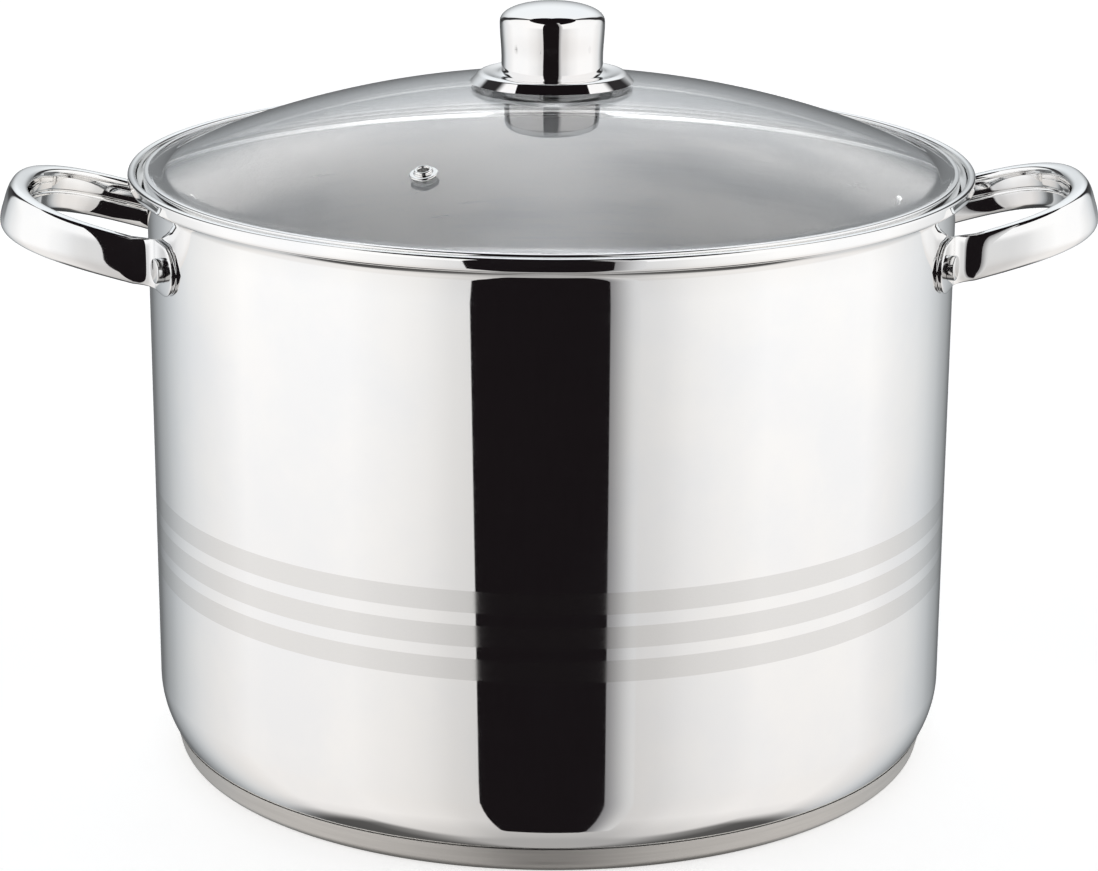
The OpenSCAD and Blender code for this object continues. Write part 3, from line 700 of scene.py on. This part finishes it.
def build_vent():
    tilt = math.asin(VENT_R / DOME_RHO)
    at = Matrix.Translation((VENT_R * MM, 0, dome_z(DOME_RHO, VENT_R) * MM))
    place = Matrix.Rotation(math.radians(VENT_TURN), 4, "Z") @ at @ Matrix.Rotation(tilt, 4, "Y")
    bore, barrel, flange, rolled, under = 2.1, 3.1, 5.4, 4.2, -GLASS_T - 0.8
    collar = ([(bore, under - 0.9), (bore, 0.2), (bore, 1.6)] + arc(bore + 0.7, 1.6, 0.7, 180, 0, 12)[1:]
              + bezier([(bore + 1.4, 1.6), (bore + 1.4, 0.95), (bore + 2.1, 0.95)], 6)
              + bezier([(flange - 0.9, 0.9), (flange, 0.85), (flange, 0.3)], 6)
              + [(flange - 0.1, 0.05), (barrel, 0.05), (barrel, under - 0.1), (rolled, under - 0.1),
                 (rolled, under - 0.5), (barrel, under - 0.9)])
    turned("vent_collar", [(collar, 0)], "lid", ["vent_eyelet"], [EYELET],
           matrix=place, steps=64)


# ---- knob ----
KNOB_R, NECK_R, KNOB_Z = KNOB_HI.x, KNOB_HI.x - 0.7, KNOB_LO.z
SKIRT_R, SKIRT_Z, SKIRT_T = SKIRT_HI.x, SKIRT_LO.z, 0.8


def build_knob_cap():
    neck_h, crown, bluntness, shell = 5.0, 8.0, 0.83, 0.8
    neck_z, head_z = KNOB_Z + neck_h, KNOB_HI.z - crown
    lead = (head_z - neck_z) / 3

    def face(t):
        neck, side = NECK_R - t, KNOB_R - t
        low = straight((neck, KNOB_Z), (neck, neck_z), 8)
        swell = bezier([(neck, neck_z), (neck, neck_z + lead), (side, head_z - lead), (side, head_z)], 16)
        head = [(side * math.cos(a), head_z + (crown - t) * math.sin(a) ** bluntness)
                for a in np.radians(np.linspace(0, 90, 37)[1:-1])]
        return [(neck, KNOB_Z)] + low + swell + head + [(0, KNOB_HI.z - t)]

    turned("knob_shell", [(face(0) + face(shell)[::-1], 0)], "lid", ["knob_cap"], [KNOB])


def build_knob_skirt():
    skirt_top, lean_deg, edge, hole = KNOB_Z - 0.2, 43, 3.0, 5.1
    lean = math.radians(lean_deg)
    edge_z = skirt_top - edge
    edge_x = SKIRT_R - (edge + (edge_z - SKIRT_Z) * math.sin(lean)) / math.cos(lean)

    def face(t):
        top = skirt_top - t
        dip = bezier([(edge_x, top), (KNOB_R + 5, top - 0.1), (KNOB_R + 3, top - 0.9),
                      (KNOB_R + 0.6, top - 0.4)], 16)
        return ([(SKIRT_R - t / math.cos(lean), SKIRT_Z)] + arc(edge_x, edge_z, edge - t, lean_deg, 90, 14)
                + dip + [(NECK_R, KNOB_Z - t), (hole, KNOB_Z - t)])

    turned("knob_skirt_plate", [(face(0) + face(SKIRT_T)[::-1], 0)], "lid", ["knob_skirt"],
           [KNOB])


def build_knob_pad():
    pad_r, stem_r, foot_z = PAD_HI.x, 12, KNOB_Z - SKIRT_T
    pad = (dome(DOME_RHO + 0.05, HOLE_R, pad_r, 16)
           + [(pad_r, SKIRT_Z - 0.05), (pad_r - 0.4, SKIRT_Z + 0.4), (pad_r - 2, SKIRT_Z + 0.8),
              (stem_r, SKIRT_Z + 0.8), (stem_r, foot_z), (HOLE_R, foot_z)])
    turned("knob_gasket", [(pad, 0)], "lid", ["knob_pad"], [SILICONE])


def build_cup():
    cup_r, cup_top, cup_bottom, cup_t, corner_r = CUP_HI.x, CUP_HI.z, CUP_LO.z, 0.6, 3
    dish_r, dish_h, hole = 10.0, 3.4, 2.7

    def face(t):
        side, floor, lean = cup_r - t, cup_bottom + t, 0.6 * t
        return ([(side, cup_top)] + straight((side, cup_top), (side, cup_bottom + corner_r), 6)
                + arc(cup_r - corner_r, cup_bottom + corner_r, corner_r - t, 0, -90, 14)[1:]
                + bezier([(dish_r + 1 + lean, floor), (dish_r + lean, floor),
                          (dish_r - 1.5 + lean, floor + dish_h)], 8)
                + [(hole, floor + dish_h)])

    turned("glass_cup", [(face(0) + face(cup_t)[::-1], 0)], "lid", ["lid_cup"], [CUP])


# ---- jar rack ----
RING_WIRE, RING_Z = (RING_HI.z - RING_LO.z) / 2, (RING_HI.z + RING_LO.z) / 2
RING_R = RING_HI.x - RING_WIRE
BAR_WIRE, BAR_Z = (BARS_HI.z - BARS_LO.z) / 2, (BARS_HI.z + BARS_LO.z) / 2
RUNNER_X = RING_R / 2
EYE_R, EYE_Z = (EYES_HI.z - EYES_LO.z) / 2, (EYES_HI.z + EYES_LO.z) / 2
EYE_X, EYE_Y = EYES_HI.x - EYE_R, 40.0
weld_seeds = itertools.count(11)      # each weld bead is lumpy in its own way


def rack_piece(name, shells, node, body="rack"):
    joined(name, shells, body, [node], [WIRE])


def build_rack_ring():
    turn = np.linspace(0, 2 * math.pi, 240, endpoint=False)
    ring = [(RING_R * math.cos(a), RING_R * math.sin(a), RING_Z) for a in turn]
    butt_weld = weld_bead((RING_R, 0, RING_Z), (2.9, 1.6, 2.9), 3)
    rack_piece("rack_hoop", [tube_points(ring, RING_WIRE, closed=True), butt_weld], "rack_ring")


def build_rack_bars():
    pitch = 20.0
    count = round((BARS_HI.y - BAR_WIRE) / pitch)
    bars = []
    for i in range(-count, count + 1):
        y = i * pitch
        half = math.sqrt(RING_R ** 2 - y * y) + 1
        path = [(x, y, BAR_Z) for x in np.linspace(-half, half, 12)]
        bars.append(tube_points(path, BAR_WIRE, sides=20))
        for x in (-half + 1, half - 1, -RUNNER_X, RUNNER_X):
            if abs(x) <= half + 1:
                bars.append(weld_bead((x, y, (BAR_Z + RING_Z) / 2), (2.3, 2.3, 1.3), next(weld_seeds)))
    rack_piece("rack_bars_wire", bars, "rack_bars")


def build_rack_runners():
    reach = math.sqrt(RING_R ** 2 - RUNNER_X ** 2) - RING_WIRE * 0.9
    runners = [tube_points([(s * RUNNER_X, y, RING_Z) for y in np.linspace(-reach, reach, 12)], RING_WIRE)
               for s in (-1, 1)]
    rack_piece("rack_runner_wires", runners, "rack_runners")


def build_rack_feet():
    foot_r, bend, foot_y = 2.0, 6.0, FEET_HI.y - 8.0
    low, top = FEET_LO.z + foot_r + bend, FEET_HI.z
    feet = []
    for x in (-RUNNER_X, RUNNER_X):
        for y in (-foot_y, foot_y):
            turn = np.linspace(0, math.pi, 19)[1:-1]
            path = ([(x, y - bend, z) for z in np.linspace(top, low, 5)]
                    + [(x, y - bend * math.cos(a), low - bend * math.sin(a)) for a in turn]
                    + [(x, y + bend, z) for z in np.linspace(low, top, 5)])
            feet.append(tube_points(path, foot_r, sides=20, cap=0.15))
            feet.append(weld_bead((x, y, top - 0.4), (2.6, 7.4, 1.2), next(weld_seeds)))
    rack_piece("rack_feet_wire", feet, "rack_feet")


def build_rack_eyes():
    bore, half_w, bore_edge, edge = 2.1, 2.6, 0.4, 0.5
    rim = half_w + bore_edge - edge
    outline = ([(bore, -half_w), (bore, half_w)] + arc(bore + bore_edge, half_w, bore_edge, 180, 90, 4)[1:]
               + arc(EYE_R - edge, rim, edge, 90, 0, 5) + arc(EYE_R - edge, -rim, edge, 0, -90, 5)
               + arc(bore + bore_edge, -half_w, bore_edge, 270, 180, 4))
    shells = []
    for x in (-EYE_X, EYE_X):
        for y in (-EYE_Y, EYE_Y):
            place = Matrix.Translation((x, y, EYE_Z)) @ Matrix.Rotation(math.pi / 2, 4, "X")
            shells.append(revolve(outline, 40, place)[:2])
            shells.append(weld_bead((x, y, EYES_LO.z + 0.3), (3.0, 2.6, 1.0), next(weld_seeds)))
    rack_piece("rack_pivot_eyes", shells, "rack_eyes")


def build_rack_handle(node, side):
    """A wire loop that lies flat on the rack, its two ends through the pivot eyes."""
    wire, small, big, stop_r = 2.0, 4.0, 8.0, 3.2
    grip_x = EYE_X - BAIL_LO.x - wire
    leg_y = EYE_Y - 8
    stub = leg_y + small
    half = ([(0, y) for y in np.linspace(EYE_Y + 6, stub, 5)]
            + [(-small + small * math.cos(a), stub - small * math.sin(a))
               for a in np.radians((15, 30, 45, 60, 75))]
            + [(x, leg_y) for x in np.linspace(-small, -grip_x + big, 8)]
            + [(-grip_x + big - big * math.sin(a), leg_y - big + big * math.cos(a))
               for a in np.radians((12, 24, 36, 48, 60, 72, 84))]
            + [(-grip_x, y) for y in np.linspace(leg_y - big, 0, 5)])
    path = half + [(x, -y) for x, y in half[-2::-1]]
    shells = [tube_points([(side * (EYE_X + x), y, EYE_Z) for x, y in path], wire, sides=28)]
    for s in (-1, 1):
        stop = [(side * EYE_X, s * y, EYE_Z) for y in np.linspace(EYE_Y + 5, EYE_Y + 7, 4)]
        shells.append(tube_points(stop, stop_r, sides=28, cap=0.25))
    rack_piece(node + "_wire", shells, node, body=node)


build_pot()
build_base()
build_handle("grip_right", 1, "handle_right")
build_handle("grip_left", -1, "handle_left")
build_rivets("rivet_pair_right", 1, "rivets_right")
build_rivets("rivet_pair_left", -1, "rivets_left")
build_glass()
build_band()
build_vent()
build_knob_cap()
build_knob_skirt()
build_knob_pad()
build_cup()
build_rack_ring()
build_rack_bars()
build_rack_runners()
build_rack_feet()
build_rack_eyes()
build_rack_handle("rack_handle_right", 1)
build_rack_handle("rack_handle_left", -1)

# CAD nodes that keep their own shape
for node, material, slot_name in (
        ("base_core", SPREADER, "spreader_aluminium"), ("vent_seal", SILICONE, "silicone"),
        ("knob_boss", FASTENER, "fastener_steel"), ("cup_spacer", SILICONE, "silicone"),
        ("lock_washer", FASTENER, "fastener_steel"), ("knob_screw", FASTENER, "fastener_steel")):
    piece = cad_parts[node]
    piece.data.materials.clear()
    piece.data.materials.append(material)


# ---- studio ----
DARK = (0.0085, 0.0065, 0.0075, 1)     # unlit room behind the lights


def build_world():
    """A white studio: soft lights all round, and dark above the camera in front. The camera doesn't see
    it straight, as the floor sweeps up all round, so it shows in reflections and lights what isn't steel."""
    world = bpy.data.worlds.new("studio")
    bpy.context.scene.world = world
    world.use_nodes = True
    world.node_tree.nodes.clear()
    n = Nodes(world.node_tree)
    way = n.add("ShaderNodeTexCoord").outputs["Generated"]
    x, y, z = n.split(way)
    # front: 0 towards the camera's side to 1 behind; rise: 0 straight down to 1 straight up
    front = n.math("DIVIDE", n.math("ARCTAN2", n.math("ABSOLUTE", x), n.math("MULTIPLY", y, -1.0)), math.pi)
    rise = n.math("ADD", n.math("DIVIDE", n.math("ARCSINE", z), math.pi), 0.5)

    def az(deg):
        return deg / 180

    def el(deg):
        return deg / 180 + 0.5

    middle = n.ramp(front, [(az(a), v) for a, v in (
        (20, 0.74), (29, 0.80), (37, 0.90), (44, 0.95), (52, 0.99), (60, 1.04), (98, 1.04), (110, 0.94),
        (124, 0.84), (132, 0.74), (141, 0.585), (146, 0.48), (153, 0.37), (162, 0.19), (180, 0.15))])
    low = n.ramp(front, [(az(a), v) for a, v in (
        (0, 0.41), (54, 0.42), (72, 0.26), (92, 0.10), (180, 0.04))])
    low_to = n.ramp(front, [(az(a), el(v)) for a, v in ((48, -71), (64, -66), (80, -57), (180, -48))])
    high = n.ramp(front, [(az(a), v) for a, v in ((0, 1.0), (60, 1.05), (180, 1.0))])
    fall = n.ramp(rise, [(el(a), v) for a, v in (
        (-90, 0.40), (-70, 0.62), (-60, 0.72), (-52, 0.82), (-46, 0.90), (-23, 0.91), (-16, 1.0), (-13, 1.04),
        (90, 1.04))])
    middle_back = n.ramp(front, [(az(a), v) for a, v in ((100, 1.0), (135, 0.62), (180, 0.62))])
    fall = n.math("MULTIPLY", fall, n.mix(n.smooth(rise, el(-60), el(-42)), middle_back, (1, 1, 1, 1)))
    white_from = n.ramp(front, [(az(a), el(v)) for a, v in ((110, -8), (135, 6), (150, -2), (180, -12))])
    white_to = n.ramp(front, [(az(a), el(v)) for a, v in ((100, 6), (135, 44), (155, 32), (180, 28))])
    middle = n.mix(n.smooth(rise, white_from, white_to), middle, high)
    warmth = n.mix(n.smooth(rise, el(-30), el(-8)), (1.0, 0.975, 0.955, 1), (1.0, 1.0, 1.0, 1))
    cool = n.mix(n.smooth(front, az(105), az(150)), warmth, (0.93, 0.97, 1.0, 1))
    low_from, low_until = n.math("SUBTRACT", low_to, az(4)), n.math("ADD", low_to, az(4))
    tinted = n.times(n.mix(n.smooth(rise, low_from, low_until), low, n.times(middle, fall)), cool)
    # a dark stripe behind the lights on each side
    stripe_at = n.ramp(rise, [(el(a), az(v)) for a, v in (
        (-4, 152), (14, 141), (26, 131), (40, 126), (54, 118), (62, 108))])
    near_stripe = n.smooth(n.math("ABSOLUTE", n.math("SUBTRACT", front, stripe_at)), az(6), az(12), 1.0, 0.0)
    stripe_on = n.ramp(rise, [(el(a), v) for a, v in ((-10, 0), (-2, 0.85), (14, 0.97), (90, 1.0))])
    striped = n.mix(n.math("MULTIPLY", near_stripe, stripe_on), tinted, DARK)
    # half the width of the dark above the camera, stored with 5 degrees added, as a ramp holds nothing below 0
    width = n.ramp(rise, [(el(a), az(v + 5)) for a, v in (
        (38, -5), (44, 19), (50, 40), (56, 68), (62, 108), (66, 126), (70, 142), (74, 165), (78, 185))])
    gap = n.smooth(front, n.math("SUBTRACT", width, az(7)), n.math("SUBTRACT", width, az(3)))
    colour = n.mix(gap, DARK, striped)
    # rays that have come through the glass see brighter clouds, in place of light that bounces inside the pot
    drift = n.noise(way, 2.3, 3.0, 0.5)
    sides = n.ramp(front, [(az(a), v) for a, v in (
        (0, 1.0), (45, 0.95), (72, 0.35), (108, 0.30), (135, 0.9), (180, 1.0))])
    clouds = n.mix(n.smooth(drift, 0.38, 0.62), (1.6, 1.63, 1.68, 1), (3.0, 2.93, 2.88, 1))
    through = n.add("ShaderNodeLightPath").outputs["Is Transmission Ray"]
    colour = n.mix(n.math("MULTIPLY", through, n.smooth(rise, el(4), el(24))), colour, n.times(clouds, sides))
    back = n.add("ShaderNodeBackground")
    n.put(back.inputs["Color"], colour)
    out = n.add("ShaderNodeOutputWorld")
    n.tree.links.new(back.outputs[0], out.inputs["Surface"])


def unseen_by(piece, *rays):
    for ray in rays:
        setattr(piece, "visible_" + ray, False)


def build_card():
    """A tall black card and a grey one beside it, round the camera, which doesn't see them: they show in
    reflections, as the dark strip down the pot's front, and through the glass."""
    away_m, low_m, bend_m, bend_h = -0.794, -1.14, 0.035, 0.11
    left = ((1.9, -0.330), (0.12, -0.330), (-0.30, -0.283))      # height and place of each side
    right = ((-0.30, 0.171), (0.12, 0.174), (1.9, 0.182))
    foot_out, foot_in = -0.270 + bend_m, 0.158 - bend_m
    turn = np.radians(np.linspace(0, 90, 10))
    outline = ([(x, z) for z, x in left]
               + [(foot_out - bend_m * math.sin(a), low_m + bend_h - bend_h * math.cos(a)) for a in turn[::-1]]
               + [(foot_in + bend_m * math.sin(a), low_m + bend_h - bend_h * math.cos(a)) for a in turn]
               + [(x, z) for z, x in right])
    mat, n, shader, where = new_material("black_card")
    cloth = n.noise(where, 60.0, 3.0, 0.5)
    n.put(shader.inputs["Base Color"], n.mix(cloth, (0.0, 0.0, 0.0, 1), (0.002, 0.002, 0.002, 1)))
    shader.inputs["Roughness"].default_value = 1.0
    shader.inputs["Specular IOR Level"].default_value = 0.0
    shader.inputs["Emission Color"].default_value = DARK
    shader.inputs["Emission Strength"].default_value = 1.0
    verts = [(x / MM, away_m / MM, z / MM) for x, z in outline]
    card = finish_mesh("studio_card", verts, [tuple(range(len(verts)))], None, None, [mat])

    # a grey edge beside it that fades into the light
    shade_from_m, shade_to_m = 0.15, 0.29
    mat, n, shader, where = new_material("card_shade")
    x, y, z = n.split(where)
    light = n.mix(n.smooth(z, -0.6, 0.1), (0.68, 0.67, 0.66, 1), (0.745, 0.745, 0.745, 1))
    share = n.smooth(x, shade_from_m, shade_to_m)
    shader.inputs["Base Color"].default_value = (0, 0, 0, 1)
    shader.inputs["Specular IOR Level"].default_value = 0.0
    n.put(shader.inputs["Emission Color"], n.mix(share, (0.22, 0.215, 0.22, 1), light))
    shader.inputs["Emission Strength"].default_value = 1.0
    top_m, behind_m = left[0][0], away_m - 0.01
    corners = ((shade_from_m, low_m), (shade_to_m, low_m), (shade_to_m, top_m), (shade_from_m, top_m))
    verts = [(x / MM, behind_m / MM, z / MM) for x, z in corners]
    soft = finish_mesh("studio_shade", verts, [(0, 1, 2, 3)], None, None, [mat])
    for piece in (card, soft):
        unseen_by(piece, "camera", "diffuse", "shadow")


def build_stage():
    """A pale floor that sweeps up all round. Only the camera sees it, so it doesn't fill the reflections."""
    flat, sweep, wall_top = 3200, 1500, 7000
    outline = [(0.0, 0.0), (300.0, 0.0), (1200.0, 0.0), (flat, 0.0)]
    outline += [(flat + sweep * math.sin(a), sweep - sweep * math.cos(a))
                for a in np.radians(np.arange(6, 91, 6))]
    outline.append((flat + sweep, wall_top))
    steps = 96
    verts, faces = [(0, 0, 0)], []
    angles = np.linspace(0, 2 * math.pi, steps, endpoint=False)
    for r, z in outline[1:]:
        verts += [(r * math.cos(a), r * math.sin(a), z) for a in angles]
    for j in range(steps):
        k = (j + 1) % steps
        faces.append((0, 1 + j, 1 + k))
        for i in range(len(outline) - 2):
            a = 1 + i * steps
            faces.append((a + j, a + steps + j, a + steps + k, a + k))
    mat, n, shader, where = new_material("pale_floor")
    paper = n.noise(where, 3.0, 3.0, 0.5)
    n.put(shader.inputs["Base Color"], n.mix(paper, (0.86, 0.86, 0.86, 1), (0.88, 0.88, 0.88, 1)))
    shader.inputs["Roughness"].default_value = 0.9
    shader.inputs["Specular IOR Level"].default_value = 0.0
    shader.inputs["Emission Color"].default_value = (1, 1, 1, 1)
    shader.inputs["Emission Strength"].default_value = 0.48
    floor = finish_mesh("studio_floor", verts, faces, None, None, [mat])
    unseen_by(floor, "glossy", "transmission", "shadow", "diffuse")


def build_camera():
    turn, aim, pitch, roll = (math.radians(a) for a in (2.2, 2.178, 16.48, 0.30))
    back_m, up_m, lens = 1.2709, 0.5021, 106.17
    ahead = Vector((math.sin(aim) * math.cos(pitch), math.cos(aim) * math.cos(pitch), -math.sin(pitch)))
    right = Vector((math.cos(aim), -math.sin(aim), 0))
    up = right.cross(ahead)
    right = right * math.cos(roll) + up * math.sin(roll)
    up = right.cross(ahead)
    data = bpy.data.cameras.new("camera")
    data.lens, data.sensor_width, data.sensor_fit = lens, 36.0, "HORIZONTAL"
    data.clip_start, data.clip_end = 0.05, 50.0
    camera = bpy.data.objects.new("camera", data)
    bpy.context.scene.collection.objects.link(camera)
    turn_by = Matrix((right, up, -ahead)).transposed().to_4x4()
    at = Vector((-back_m * math.sin(turn), -back_m * math.cos(turn), up_m))
    camera.matrix_world = Matrix.Translation(at) @ turn_by
    bpy.context.scene.camera = camera


build_world()
build_card()
build_stage()
build_camera()
bpy.context.scene.view_settings.view_transform = "Standard"
